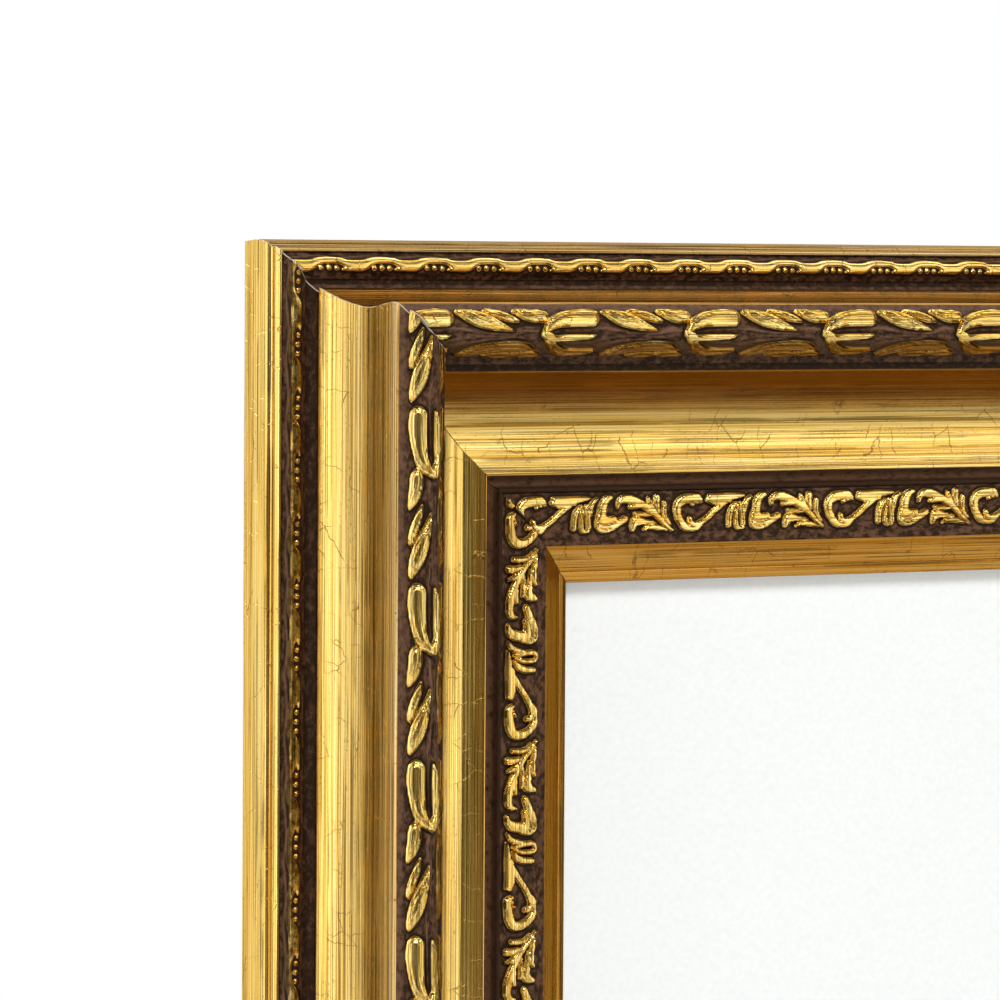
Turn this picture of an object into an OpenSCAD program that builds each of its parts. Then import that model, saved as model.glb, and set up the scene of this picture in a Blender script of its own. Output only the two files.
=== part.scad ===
/* [Picture] */
// Width of the picture, the glass and the boards
picture_w = 300; // [200:5:600]
// Height of the picture, the glass and the boards
picture_h = 400; // [250:5:800]
// Play between the glass and the rabbet on each side
glass_play = 1; // [0.5:0.1:2]

/* [Moulding] */
// Width of the moulding, from its outer edge to its lip
rail_w = 63; // [56:0.5:75]
// Height of the moulding, from its back to its crest
rail_h = 39; // [35:0.5:48]
// Height of the outer step's top, where the ribbon strip ends
step_h = 11.6; // [9:0.1:14]
// Width of the rabbet under the lip
rabbet_w = 6.8; // [5:0.1:7.5]
// Depth of the rabbet that holds the glass and boards
rabbet_d = 10; // [9:0.1:12]
// Height of the frieze above the rabbet's ceiling
frieze_rise = 5.3; // [4.5:0.1:7]
// Depth of the groove between the frieze and the scroll strip
groove_d = 1.8; // [0.8:0.1:2.5]

/* [Ornament strips] */
// Thickness of the ribbon strip on the outer step
ribbon_t = 1.9; // [1:0.1:2.5]
// Thickness of the laurel strip over the crest
laurel_t = 2.2; // [1.2:0.1:3]
// Thickness of the scroll strip's ground
scroll_ground_t = 1.4; // [0.8:0.1:2]
// Height of the scrolls above their ground
scroll_relief = 1.3; // [0.6:0.1:2]

/* [Glass and boards] */
// Thickness of the glass
glass_t = 2; // [1.8:0.1:3]
// Thickness of the blank insert sheet
insert_t = 0.5; // [0.3:0.1:1]
// Thickness of the backing board
board_t = 3; // [2.5:0.1:4]
// How far the backing board lies below the rails' back
board_recess = 0.2; // [0.1:0.1:0.6]

/* [Corner nails] */
// Length of each leg of a corner nail
nail_leg = 7; // [4:0.5:9]
// Thickness of a corner nail's steel strip
nail_t = 0.6; // [0.4:0.1:1]
// Depth that a corner nail is driven to
nail_h = 10; // [5:0.5:11]

/* [Turn buttons] */
// Length of a turn button, from its screw to its tip
button_reach = 18; // [15:0.5:24]
// Width of a turn button at its screw
button_w = 10; // [8:0.5:12]
// Width of a turn button at its tip
button_tip_w = 7; // [5:0.5:8]
// Thickness of a turn button
button_t = 1.2; // [0.8:0.1:2]
// Distance from a turn button's screw to the rabbet's wall
button_setback = 7; // [6:0.5:10]
// Shank diameter of a turn button's screw
button_screw_d = 3; // [2.5:0.1:3.5]
// Depth of a turn button's screw in the wood
button_screw_l = 10; // [7:0.5:11]

/* [Hangers] */
// Drop of the hangers below the top of the frame
hanger_drop = 170; // [100:5:200]
// Distance of the hangers from the rail's outer edge
hanger_inset = 28; // [20:0.5:32]
// Width of a hanger's strap
strap_w = 12; // [9:0.5:14]
// Thickness of a hanger's strap
strap_t = 1; // [0.8:0.1:1.2]
// Wire diameter of a hanger's ring
ring_wire_d = 2.4; // [2:0.1:3]
// Inner length of a hanger's ring, from the middle of its bar
ring_in_l = 11; // [10:0.5:14]
// Shank diameter of a hanger's screw
hanger_screw_d = 3.5; // [3:0.1:4]
// Depth of a hanger's screw in the wood
hanger_screw_l = 15; // [10:0.5:16]
// Distance between a hanger's two screws
hanger_screw_gap = 9.5; // [8:0.5:12]

/* [Screw heads] */
// Diameter of the screws' domed heads
head_d = 6.2; // [5.5:0.1:7]
// Height of the screws' domed heads
head_h = 2; // [1.4:0.1:3]

/* [Bumpers] */
// Diameter of the felt bumpers
bumper_d = 12; // [8:0.5:16]
// Thickness of the felt bumpers
bumper_t = 2.5; // [1.5:0.1:4]
// Distance of the bumpers from the frame's top and bottom edges
bumper_inset = 14; // [10:0.5:20]
// Distance of the bumpers from the frame's sides
bumper_side = 55; // [40:1:90]

/* [Hidden] */
SIDES = ["top", "right", "bottom", "left"];

// Overrun of a cut past the solid that it cuts
over = 1;
// Radial gap of a turning fit
turn_gap = 0.06;
// Gap between a turn button and its screw's head
head_gap = 0.05;
// Gap between a hanging ring's wire and its strap
wire_gap = 0.3;
// Gap between a ring's arms and the sides of its strap
ring_play = 1;
// Gap between a hanging ring and the first screw's head
ring_head_gap = 2;
// Width and depth of the cross recess in a screw's head
recess_w = 0.9;
recess_d = 1;
$fn = 48;
// Steps between two points of a smooth outline
steps = 3;

// Whole frame, and the opening that holds the glass
wall_p = rail_w - rabbet_w;
opening_w = picture_w + 2 * glass_play;
opening_h = picture_h + 2 * glass_play;
frame_w = opening_w + 2 * wall_p;
frame_h = opening_h + 2 * wall_p;
frieze_h = rabbet_d + frieze_rise;
filler_t = rabbet_d - glass_t - insert_t - board_t - board_recess;

// Section points: shares of the moulding's width, and of the rise of each stretch.
// The outer edge rounds over to a step with a small bead on it, beside the ribbon strip's seat.
edge_shares = [[0.006, 0], [0.0015, 0.31], [0, 0.515], [0.003, 0.61], [0.0056, 0.727],
               [0.0103, 0.789], [0.019, 0.804], [0.0211, 0.856], [0.0195, 0.938], [0.0219, 0.99],
               [0.027, 1.036], [0.0317, 1.041], [0.0357, 1.02], [0.038, 1]];
ribbon_shares = [[0.038, 0], [0.0397, 0.18], [0.0465, 0.47], [0.0529, 0.67], [0.06, 0.837],
                 [0.0714, 0.947], [0.0825, 1], [0.092, 0.94], [0.1, 0.74], [0.1075, 0.47],
                 [0.112, 0.3]];
// A channel lies inside the ribbon strip, and its wall leans over it.
channel_shares = [[0.112, 0], [0.122, -0.03], [0.135, 0.18], [0.1445, 0.47], [0.1476, 0.74],
                  [0.143, 1], [0.1365, 1.26]];
// The scotia is hollow towards the outside.
scotia_shares = [[0.1365, 0], [0.143, 0.044], [0.1563, 0.11], [0.1714, 0.216], [0.184, 0.357],
                 [0.1897, 0.502], [0.185, 0.656], [0.178, 0.806], [0.1746, 0.894],
                 [0.1738, 0.943], [0.1752, 0.975], [0.1795, 1]];
// The outer face of the laurel strip over the rounded crest
crest_shares = [[0.1795, 0.892], [0.184, 0.928], [0.2065, 0.973], [0.254, 1], [0.292, 0.982],
                [0.3175, 0.938], [0.335, 0.877], [0.351, 0.8]];
fillet_shares = [[0.351, 0.8], [0.37, 0.795], [0.3745, 0.78]];
// The cove sweeps down to the frieze, which lies flat and then rises to the groove's edge.
cove_shares = [[0.3745, 1], [0.378, 0.89], [0.398, 0.626], [0.427, 0.377], [0.467, 0.172],
               [0.513, 0.005], [0.552, -0.058]];
frieze_shares = [[0.576, -0.198], [0.604, -0.208], [0.6145, -0.18], [0.642, -0.095],
                 [0.662, -0.018], [0.6715, 0.026], [0.676, 0.028], [0.6785, 0.005]];
groove_shares = [[0.681, 0.5], [0.688, 0.9], [0.696, 1], [0.704, 0.85], [0.711, 0.45]];
bead_shares = [[0.7135, 0.01], [0.7165, 0.085], [0.723, 0.1], [0.7295, 0.04]];
// The scroll strip's seat, and the raised field on it that the scrolls fill
scroll_seat_shares = [0.7305, 0.887];
scroll_field_shares = [0.075, 0.945];
lip_shares = [[0.887, -0.03], [0.893, -0.09], [0.963, -0.53], [0.9665, -0.6], [0.987, -0.65],
              [0.9975, -0.73], [1, -0.84], [0.995, -1]];

// Places of the corner nails across the wood, and of the turn buttons along half a rail
nail_place_shares = [0.36, 0.72];
button_place_share = 0.5;
// Where a turn button's straight flanks start on its round ends
flank_share = 0.96;

function stretch(rows, foot, rise) = [for (row = rows) [rail_w * row[0], foot + rise * row[1]]];

// A point at share t of the smooth curve from b to c, where a and d are their neighbours
function curve_point(a, b, c, d, t) =
    (2 * b + (c - a) * t + (2 * a - 5 * b + 4 * c - d) * t * t
     + (3 * b - a - 3 * c + d) * t * t * t) / 2;

function smooth(pts) = concat(
    [for (i = [0:len(pts) - 2], k = [0:steps - 1])
        curve_point(pts[max(i - 1, 0)], pts[i], pts[i + 1], pts[min(i + 2, len(pts) - 1)], k / steps)],
    [last(pts)]
);

function last(pts) = pts[len(pts) - 1];
function reversed(pts) = [for (i = [len(pts) - 1:-1:0]) pts[i]];

// The curve that lies a depth to the right of a run of points
function inset_point(pts, i, depth) =
    let(run = pts[min(i + 1, len(pts) - 1)] - pts[max(i - 1, 0)])
    pts[i] + [run[1], -run[0]] * depth / norm(run);
function inset(pts, depth) = [for (i = [0:len(pts) - 1]) inset_point(pts, i, depth)];

// Curves of the section: x is the distance from the outer edge, y the height from the back.
ribbon_seat_h = step_h - ribbon_t;
edge_curve = smooth(stretch(edge_shares, 0, ribbon_seat_h));
ribbon_curve = smooth(stretch(ribbon_shares, ribbon_seat_h, ribbon_t));
channel_curve = smooth(stretch(channel_shares, ribbon_seat_h, ribbon_t));
scotia_foot = last(channel_curve)[1];
scotia_curve = smooth(stretch(scotia_shares, scotia_foot, rail_h * crest_shares[0][1] - scotia_foot));
crest_curve = smooth(stretch(crest_shares, 0, rail_h));
crest_core = inset(crest_curve, laurel_t);
fillet_points = stretch(fillet_shares, 0, rail_h);
cove_curve = smooth(stretch(cove_shares, frieze_h, last(fillet_points)[1] - frieze_h));
frieze_curve = smooth(concat([last(cove_curve)], stretch(frieze_shares, frieze_h, frieze_rise)));
groove_curve = smooth(stretch(groove_shares, frieze_h, -groove_d));
bead_curve = smooth(stretch(bead_shares, frieze_h, frieze_rise));
lip_points = stretch(lip_shares, frieze_h, frieze_rise);

scroll_out_p = rail_w * scroll_seat_shares[0];
scroll_in_p = rail_w * scroll_seat_shares[1];
scroll_seat_h = frieze_h - scroll_ground_t;

rail_section = concat(
    edge_curve,
    channel_curve,
    [for (i = [1:len(scotia_curve) - 1]) scotia_curve[i]],
    crest_core,
    fillet_points,
    [for (i = [1:len(cove_curve) - 2]) cove_curve[i]],
    frieze_curve,
    groove_curve,
    bead_curve,
    [[scroll_out_p, scroll_seat_h], [scroll_in_p, scroll_seat_h]],
    lip_points,
    [[wall_p, rabbet_d], [wall_p, 0]]
);
ribbon_section = concat(ribbon_curve, [channel_curve[0]]);
crest_section = concat(crest_curve, reversed(crest_core));
scroll_span = scroll_in_p - scroll_out_p;
field_out_p = scroll_out_p + scroll_span * scroll_field_shares[0];
field_in_p = scroll_out_p + scroll_span * scroll_field_shares[1];
field_h = frieze_h + scroll_relief;
scroll_section = [
    [scroll_out_p, scroll_seat_h], [scroll_out_p, frieze_h], [field_out_p, frieze_h],
    [field_out_p, field_h], [field_in_p, field_h], [field_in_p, lip_points[0][1]],
    [scroll_in_p, lip_points[0][1]], [scroll_in_p, scroll_seat_h]
];

// Turn buttons, hangers and bumpers
button_p = wall_p - button_setback;
bar_out = strap_t + wire_gap + ring_wire_d / 2;
bore_r = ring_wire_d / 2 + turn_gap;
ring_in_w = strap_w + 2 * ring_play;
ring_mid_r = (ring_in_w + ring_wire_d) / 2;
ring_arm_l = ring_in_l + ring_wire_d / 2 - ring_mid_r;
hanger_screw_drop = ring_in_l + ring_wire_d + ring_head_gap + head_d / 2;
strap_end = hanger_screw_drop + hanger_screw_gap;
hanger_x = frame_w / 2 - hanger_inset;
hanger_y = frame_h / 2 - hanger_drop;

// The frame is drawn lying on its back, with its front towards +Z, and then stood up.
module upright() {
    rotate([90, 0, 0]) children();
}

// Side 0 is the top, and the others follow clockwise as seen from the front.
function side_length(side) = side % 2 == 0 ? frame_w : frame_h;
function side_reach(side) = side % 2 == 0 ? frame_h / 2 : frame_w / 2;

// Lays what is drawn along X, with its outer edge on the X axis, along one side of the frame
module on_side(side) {
    rotate([0, 0, -90 * side]) translate([0, side_reach(side), 0]) children();
}

// A length of section along one side, cut off at both mitres
module moulded(side, section) {
    half = side_length(side) / 2;
    inner_half = half - rail_w - over;
    on_side(side) intersection() {
        mirror([0, 1, 0]) rotate([90, 0, 90])
            translate([0, 0, -half]) linear_extrude(2 * half) polygon(section);
        translate([0, 0, -over]) linear_extrude(rail_h + 2 * over) polygon([
            [-half - over, over], [half + over, over],
            [inner_half, -rail_w - over], [-inner_half, -rail_w - over]
        ]);
    }
}

// Corner nails: an angle of steel strip with one leg in each rail, driven in from the back
module corner_nails(sx, sy) {
    for (share = nail_place_shares)
        translate([sx * (frame_w / 2 - wall_p * share), sy * (frame_h / 2 - wall_p * share), 0])
            linear_extrude(nail_h) polygon([for (q = [
                [0, 0], [nail_leg, 0], [nail_leg, nail_t], [nail_t, nail_t], [nail_t, nail_leg], [0, nail_leg]
            ]) [-sx * q[0], -sy * q[1]]]);
}

module all_corner_nails() {
    for (sx = [-1, 1], sy = [-1, 1]) corner_nails(sx, sy);
}

// The screw places of one side's two turn buttons
module at_button(side, which) {
    on_side(side)
        translate([(2 * which - 1) * button_place_share * side_length(side) / 2, -button_p, 0]) children();
}

// A domed screw: its head rests at height z on the back, and its shank goes into the wood.
module screw(shank_d, depth, seat) {
    dome_r = (head_d * head_d / 4 + head_h * head_h) / (2 * head_h);
    tip_l = shank_d;
    translate([0, 0, -seat]) cylinder(d = shank_d, h = depth - tip_l + seat);
    translate([0, 0, depth - tip_l]) cylinder(d1 = shank_d, d2 = 0, h = tip_l);
    translate([0, 0, -seat - head_h]) difference() {
        intersection() {
            cylinder(d = head_d, h = head_h);
            translate([0, 0, dome_r]) sphere(dome_r);
        }
        for (turn = [0, 90]) rotate([0, 0, turn])
            translate([-head_d / 4, -recess_w / 2, -over]) cube([head_d / 2, recess_w, recess_d + over]);
    }
}

module screw_hole(shank_d, depth) {
    translate([0, 0, -over]) cylinder(d = shank_d, h = depth + over);
}

module at_hanger_screws(hand) {
    for (drop = [hanger_screw_drop, strap_end])
        translate([hand * hanger_x, hanger_y - drop, 0]) children();
}

module rail(side) {
    color("goldenrod") upright() difference() {
        moulded(side, rail_section);
        all_corner_nails();
        for (which = [0, 1]) at_button(side, which) screw_hole(button_screw_d, button_screw_l);
        if (side % 2 == 1) at_hanger_screws(side == 1 ? 1 : -1) screw_hole(hanger_screw_d, hanger_screw_l);
    }
}

module outer_band(side) {
    color("gold") upright() moulded(side, ribbon_section);
}

module crest_band(side) {
    color("gold") upright() moulded(side, crest_section);
}

module scroll_band(side) {
    color("saddlebrown") upright() moulded(side, scroll_section);
}

module v_nails() {
    color("silver") upright() all_corner_nails();
}

// A flat sheet of the picture's size, with its front at a height above the rails' back
module sheet(front, thickness) {
    translate([-picture_w / 2, -picture_h / 2, front - thickness]) cube([picture_w, picture_h, thickness]);
}

module glass_pane() {
    color("lightcyan") upright() sheet(rabbet_d, glass_t);
}

module insert_sheet() {
    color("white") upright() sheet(rabbet_d - glass_t, insert_t);
}

module filler_board() {
    color("burlywood") upright() sheet(rabbet_d - glass_t - insert_t, filler_t);
}

module backing_board() {
    color("peru") upright() sheet(board_recess + board_t, board_t);
}

// A tapered plate that turns about its screw and points over the backing board
module turn_button(k) {
    root_r = button_w / 2;
    tip_r = button_tip_w / 2;
    tip_y = button_reach - tip_r;
    color("silver") upright() at_button(floor((k - 1) / 2), (k - 1) % 2) difference() {
        translate([0, 0, -button_t]) {
            cylinder(r = root_r, h = button_t);
            translate([0, -tip_y, 0]) cylinder(r = tip_r, h = button_t);
            linear_extrude(button_t) polygon([
                [-root_r * flank_share, 0], [root_r * flank_share, 0],
                [tip_r * flank_share, -tip_y], [-tip_r * flank_share, -tip_y]
            ]);
        }
        translate([0, 0, -button_t - over])
            cylinder(r = button_screw_d / 2 + turn_gap, h = button_t + 2 * over);
    }
}

module turn_button_screws() {
    color("gainsboro") upright() for (side = [0:3], which = [0, 1]) at_button(side, which)
        screw(button_screw_d, button_screw_l, button_t + head_gap);
}

// A strap with two screw holes, rolled into a barrel at its top for the ring's bar
module hanger_plate(hand) {
    color("silver") upright() difference() {
        translate([hand * hanger_x, hanger_y, 0]) {
            translate([0, -strap_end, -strap_t]) cylinder(d = strap_w, h = strap_t);
            translate([-strap_w / 2, -strap_end, -strap_t]) cube([strap_w, strap_end, strap_t]);
            translate([-strap_w / 2, 0, -bar_out]) rotate([0, 90, 0])
                cylinder(r = bore_r + strap_t, h = strap_w);
        }
        translate([hand * hanger_x - strap_w / 2 - over, hanger_y, -bar_out]) rotate([0, 90, 0])
            cylinder(r = bore_r, h = strap_w + 2 * over);
        at_hanger_screws(hand) translate([0, 0, -strap_t - over])
            cylinder(r = hanger_screw_d / 2 + turn_gap, h = strap_t + 2 * over);
    }
}

// A ring of round wire: a straight bar, two arms and a half circle, hanging from its bar
module d_ring(hand) {
    wire_r = ring_wire_d / 2;
    color("gainsboro") upright() translate([hand * hanger_x, hanger_y, -bar_out]) {
        rotate([0, 90, 0]) cylinder(r = wire_r, h = 2 * ring_mid_r, center = true);
        for (arm = [-1, 1]) translate([arm * ring_mid_r, 0, 0]) {
            sphere(wire_r);
            rotate([90, 0, 0]) cylinder(r = wire_r, h = ring_arm_l);
        }
        translate([0, -ring_arm_l, 0]) rotate([0, 0, 180])
            rotate_extrude(angle = 180) translate([ring_mid_r, 0]) circle(wire_r);
    }
}

module hanger_screws() {
    color("gainsboro") upright() for (hand = [-1, 1])
        at_hanger_screws(hand) screw(hanger_screw_d, hanger_screw_l, strap_t);
}

module wall_bumpers() {
    color("dimgray") upright() for (sx = [-1, 1], sy = [-1, 1])
        translate([sx * (frame_w / 2 - bumper_side), sy * (frame_h / 2 - bumper_inset), -bumper_t])
            cylinder(d = bumper_d, h = bumper_t);
}

for (side = [0:3]) {
    rail(side);
    outer_band(side);
    crest_band(side);
    scroll_band(side);
}
v_nails();
glass_pane();
insert_sheet();
filler_board();
backing_board();
for (k = [1:8]) {
    turn_button(k);
}
turn_button_screws();
hanger_plate(-1);  // hanger_plate_left
hanger_plate(1);  // hanger_plate_right
d_ring(-1);  // d_ring_left
d_ring(1);  // d_ring_right
hanger_screws();
wall_bumpers();
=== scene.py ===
# Gilt baroque picture frame: the looks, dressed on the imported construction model.
# Lengths are metres where they meet Blender and millimetres in the carving tables.
import math

import bpy
import numpy as np
from mathutils import Euler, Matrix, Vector


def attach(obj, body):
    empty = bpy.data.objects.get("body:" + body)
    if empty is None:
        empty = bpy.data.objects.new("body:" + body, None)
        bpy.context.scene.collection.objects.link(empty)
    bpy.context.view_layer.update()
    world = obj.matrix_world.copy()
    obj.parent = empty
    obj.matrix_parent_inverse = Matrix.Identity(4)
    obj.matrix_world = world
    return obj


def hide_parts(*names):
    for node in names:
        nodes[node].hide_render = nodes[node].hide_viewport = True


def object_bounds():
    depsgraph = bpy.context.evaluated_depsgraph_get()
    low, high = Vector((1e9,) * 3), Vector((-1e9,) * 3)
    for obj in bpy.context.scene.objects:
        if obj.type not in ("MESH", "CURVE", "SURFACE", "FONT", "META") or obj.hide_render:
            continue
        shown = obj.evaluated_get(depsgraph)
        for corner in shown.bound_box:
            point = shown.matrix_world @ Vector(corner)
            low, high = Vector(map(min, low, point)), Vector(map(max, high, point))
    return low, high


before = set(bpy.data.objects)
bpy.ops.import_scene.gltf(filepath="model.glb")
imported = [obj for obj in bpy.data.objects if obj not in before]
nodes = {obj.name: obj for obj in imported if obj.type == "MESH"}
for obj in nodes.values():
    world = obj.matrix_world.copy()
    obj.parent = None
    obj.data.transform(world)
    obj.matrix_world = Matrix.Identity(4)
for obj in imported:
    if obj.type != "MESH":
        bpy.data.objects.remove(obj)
cad_low, cad_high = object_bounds()
bpy.ops.object.select_all(action="DESELECT")

MM = 0.001
FRAME_WIDE = (cad_high.x - cad_low.x) / MM
FRAME_TALL = (cad_high.z - cad_low.z) / MM

# Each side is walked clockwise, seen from the front: the signs of its first corner,
# the walking direction and the inward direction, all as x and z.
SIDES = {
    "top": ((-1, 1), (1, 0), (0, -1)),
    "right": ((1, 1), (0, -1), (-1, 0)),
    "bottom": ((1, -1), (-1, 0), (0, 1)),
    "left": ((-1, -1), (0, 1), (1, 0)),
}


def side_length(side):
    """Millimetres along a side's outer edge."""
    return FRAME_WIDE if side in ("top", "bottom") else FRAME_TALL


def to_world(side, along, across, front):
    """Millimetres along a side, in from its outer edge and out from the wall, as world metres."""
    corner, walk, inward = SIDES[side]
    x = corner[0] * FRAME_WIDE / 2 + walk[0] * along + inward[0] * across
    z = corner[1] * FRAME_TALL / 2 + walk[1] * along + inward[1] * across
    return np.stack([x, -front, z], -1) * MM


def to_place(side, points):
    """World metres as millimetres along, across and out to the front of a side."""
    corner, walk, inward = SIDES[side]
    x = points[:, 0] / MM - corner[0] * FRAME_WIDE / 2
    z = points[:, 2] / MM - corner[1] * FRAME_TALL / 2
    return np.stack([x * walk[0] + z * walk[1], x * inward[0] + z * inward[1],
                     -points[:, 1] / MM], -1)


# Camera, fitted to the straight edges of the corner

CAMERA_PLACE = (-0.72445, -0.86776, 0.25235)  # m
CAMERA_TURN = (87.627, -0.356, -33.420)  # degrees
CAMERA_LENS = 201.81  # mm


def place_camera():
    """The photograph's view of the corner."""
    data = bpy.data.cameras.new("camera")
    data.lens = CAMERA_LENS
    data.clip_start = 0.02
    camera = bpy.data.objects.new("camera", data)
    camera.location = CAMERA_PLACE
    camera.rotation_euler = Euler([math.radians(a) for a in CAMERA_TURN])
    bpy.context.collection.objects.link(camera)
    bpy.context.scene.camera = camera


# Materials

class Wire:
    """An output socket; arithmetic on it adds Math nodes to its material."""

    def __init__(self, finish, socket):
        self.finish, self.socket = finish, socket

    def math(self, operation, *values):
        return self.finish.add("ShaderNodeMath", {"operation": operation}, values)

    def __add__(self, other):
        return self.math("ADD", self, other)

    def __sub__(self, other):
        return self.math("SUBTRACT", self, other)

    def __rsub__(self, other):
        return self.math("SUBTRACT", other, self)

    def __mul__(self, other):
        return self.math("MULTIPLY", self, other)

    def __or__(self, other):
        return self.math("MAXIMUM", self, other)

    def __and__(self, other):
        return self.math("MINIMUM", self, other)

    def size(self):
        return self.math("ABSOLUTE", self)

    def sine(self):
        return self.math("SINE", self)

    __radd__ = __add__
    __rmul__ = __mul__


class Finish:
    """A new material, or a world, under construction, with one method that adds any node."""

    def __init__(self, name, owner=None):
        self.owner = owner or bpy.data.materials.new(name)
        self.owner.use_nodes = True
        self.tree = self.owner.node_tree
        self.tree.nodes.clear()

    def add(self, kind, settings=None, inputs=(), output=0):
        """Adds a node: its settings first, then the values or links of its sockets."""
        node = self.tree.nodes.new(kind)
        for key, value in (settings or {}).items():
            if key == "stops":
                self.set_stops(node.color_ramp, value)
            else:
                setattr(node, key, value)
        pairs = inputs.items() if isinstance(inputs, dict) else enumerate(inputs)
        for key, value in pairs:
            if isinstance(value, Wire):
                self.tree.links.new(value.socket, node.inputs[key])
            else:
                node.inputs[key].default_value = value
        return Wire(self, node.outputs[output]) if node.outputs else None

    @staticmethod
    def set_stops(ramp, stops):
        """Fills a colour ramp with (position, colour) pairs."""
        while len(ramp.elements) > 1:
            ramp.elements.remove(ramp.elements[-1])
        for index, (position, colour) in enumerate(stops):
            element = ramp.elements[0] if index == 0 else ramp.elements.new(position)
            element.position = position
            element.color = (*colour, 1)

    def kept(self, name, output="Fac"):
        """A number, or a Vector, that the mesh keeps on every vertex."""
        return self.add("ShaderNodeAttribute", {"attribute_name": name}, output=output)

    def place(self):
        """Millimetres along, across and out to the front of a side."""
        return self.kept("place", "Vector")

    def to_mitre(self):
        """Millimetres to the nearer mitre of a side, from those to its first and its last one."""
        ends = self.kept("ends", "Vector")
        return self.part(ends, "X") & self.part(ends, "Y")

    def position(self):
        """Metres in the shared frame."""
        return self.add("ShaderNodeTexCoord", output="Object")

    def stretch(self, vector, shares):
        """Multiplies a vector or a colour part by part."""
        return self.add("ShaderNodeVectorMath", {"operation": "MULTIPLY"}, [vector, shares])

    def part(self, vector, axis):
        """One part of a vector, X, Y or Z."""
        return self.add("ShaderNodeSeparateXYZ", {}, [vector], output=axis)

    def noise(self, vector, shares, detail=2.0, rough=0.5, bend=0.0):
        """Noise with grains about 1 / share long on each axis."""
        return self.add("ShaderNodeTexNoise", {}, {
            "Vector": self.stretch(vector, shares), "Scale": 1.0, "Detail": detail,
            "Roughness": rough, "Distortion": bend})

    def ease(self, value, low, high):
        """0 below low, 1 above high (or the other way round), with a soft step between."""
        flip = low > high
        first, last = (high, low) if flip else (low, high)
        step = self.add("ShaderNodeMapRange", {"interpolation_type": "SMOOTHSTEP"},
                        {"Value": value, "From Min": first, "From Max": last})
        return 1 - step if flip else step

    def band(self, value, starts, full, fades, ends):
        """1 where value lies from full to fades, 0 beyond starts and ends."""
        return self.ease(value, starts, full) * self.ease(value, ends, fades)

    def blend(self, share, first, second):
        """Mixes two colours, each a link or a plain (r, g, b)."""
        colours = [c if isinstance(c, Wire) else (*c, 1) for c in (first, second)]
        return self.add("ShaderNodeMix", {"data_type": "RGBA"},
                        {0: share, 6: colours[0], 7: colours[1]}, output=2)

    def glaze(self, share, colour, tint):
        """Lays a glaze over a share of a colour, also used for painted shade: tint is what it
        lets through.
        """
        return self.blend(share, colour, self.stretch(colour, tint))

    def bump(self, height, distance):
        """Small relief; distance is in metres."""
        return self.add("ShaderNodeBump", {}, {"Height": height, "Distance": distance})

    def close(self, **sockets):
        """Ends the material in one Principled shader."""
        names = {name.replace("_", " "): value for name, value in sockets.items()}
        shader = self.add("ShaderNodeBsdfPrincipled", {}, names)
        self.add("ShaderNodeOutputMaterial", {}, [shader])
        return self.owner


# Colours and glaze tints of the gilding, most tints painted shade; a glaze is what it lets
# through of the leaf's colour

LEAF_LIGHT = (0.97, 0.74, 0.28)
LEAF_MID = (0.85, 0.55, 0.12)
LEAF_DEEP = (0.58, 0.31, 0.045)
TONED_AND_SHADED = (0.68, 0.48, 0.28)  # brown toning on the lip and in the outer hollow, partly painted shade, more of it in the hollow of the level rails
COVE_SHADE_GLAZE = (0.29, 0.215, 0.27)  # painted shade, heavier than the toning, high in the cove
UMBER = (0.017, 0.008, 0.0045)
UMBER_RED = (0.115, 0.050, 0.026)
OPEN_BROWN = (0.115, 0.055, 0.028)
CLAY = (0.15, 0.055, 0.020)
CHALK = (0.60, 0.51, 0.40)  # gesso that shows at a rubbed mitre
EDGE_TINT = (0.90, 0.68, 0.42, 1)
FLANK_SHADE_GLAZE = (0.36, 0.26, 0.18)  # painted shade: the crest's inner flank darker than its top, and the ribbon of the upright rails darker too
FLANK_BROWN = (0.085, 0.038, 0.010)
RIM_SHADE_GLAZE = (0.95, 0.74, 0.46)  # painted shade on the scroll groove's rim, upright rails only
STEP_SHADE_GLAZE = (0.42, 0.41, 0.62)  # painted shade on the outer step of the level rails
HOLLOW_SHADE_GLAZE = (0.60, 0.48, 0.50)  # and painted shade in the hollow of those rails
BULB_SHADE_GLAZE = (0.68, 0.68, 1.0)  # painted shade on the bulb beside the crest, upright rails only
# painted sheen: a paler brown on the ground at the base of the crest, stronger on the level rails
FOOT_SHEEN_BROWN = (0.17, 0.095, 0.060)
RUB_AND_HIGHLIGHT_BROWN = (0.155, 0.080, 0.050)  # rubbed brown in the rails' channel, and painted highlight on the carved ground's raised lines

# Places on the moulding's section, in mm across it from the outer edge, or out to the front
# where the name says so: the two ends of a soft step, or where a soft band starts, is full,
# fades and ends

GROOVE = (42.70, 42.82, 46.20, 46.30)  # the dark groove outside the scroll strip
GROOVE_DEEP = (44.6, 45.1)
GROOVE_RIM = (40.6, 40.9, 42.7, 42.9)
SLOPE = (2.02, 2.12)  # the dark slope that the ribbon strip sits on
SLOPE_FRONT = (12.3, 11.6)
SLOPE_END = (20.0, 19.0)
SLOPE_RUBBED = (7.9, 8.25)
FILLET = (21.4, 21.6, 23.4, 23.5)  # between the crest strip and the cove; its dark ground is a painted shadow of the crest's edge
FILLET_FRONT = (28.0, 29.0)
COVE = (23.65, 23.9)
COVE_FRONT = (13.2, 20.5)
LIP = (54.0, 55.0)
OUTER_STEP = (2.4, 2.2)
OUTER_HALF = (14.0, 13.0)
HOLLOW = (8.2, 8.6, 12.8, 13.5)
SCOTIA_FRONT = (15.0, 26.0, 31.6, 33.4)
BULB_FRONT = (31.8, 32.6)
ROPE = (7.2, 7.0)  # the ribbon strip, and where its outer part shows dark ground: painted shade on the upright rails
ROPE_SHADE_EDGE = (3.85, 3.55)
FLANK = (17.6, 18.6, 23.0, 24.0)  # the crest's inner flank
FLANK_FRONT = (33.6, 35.0)
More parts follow.
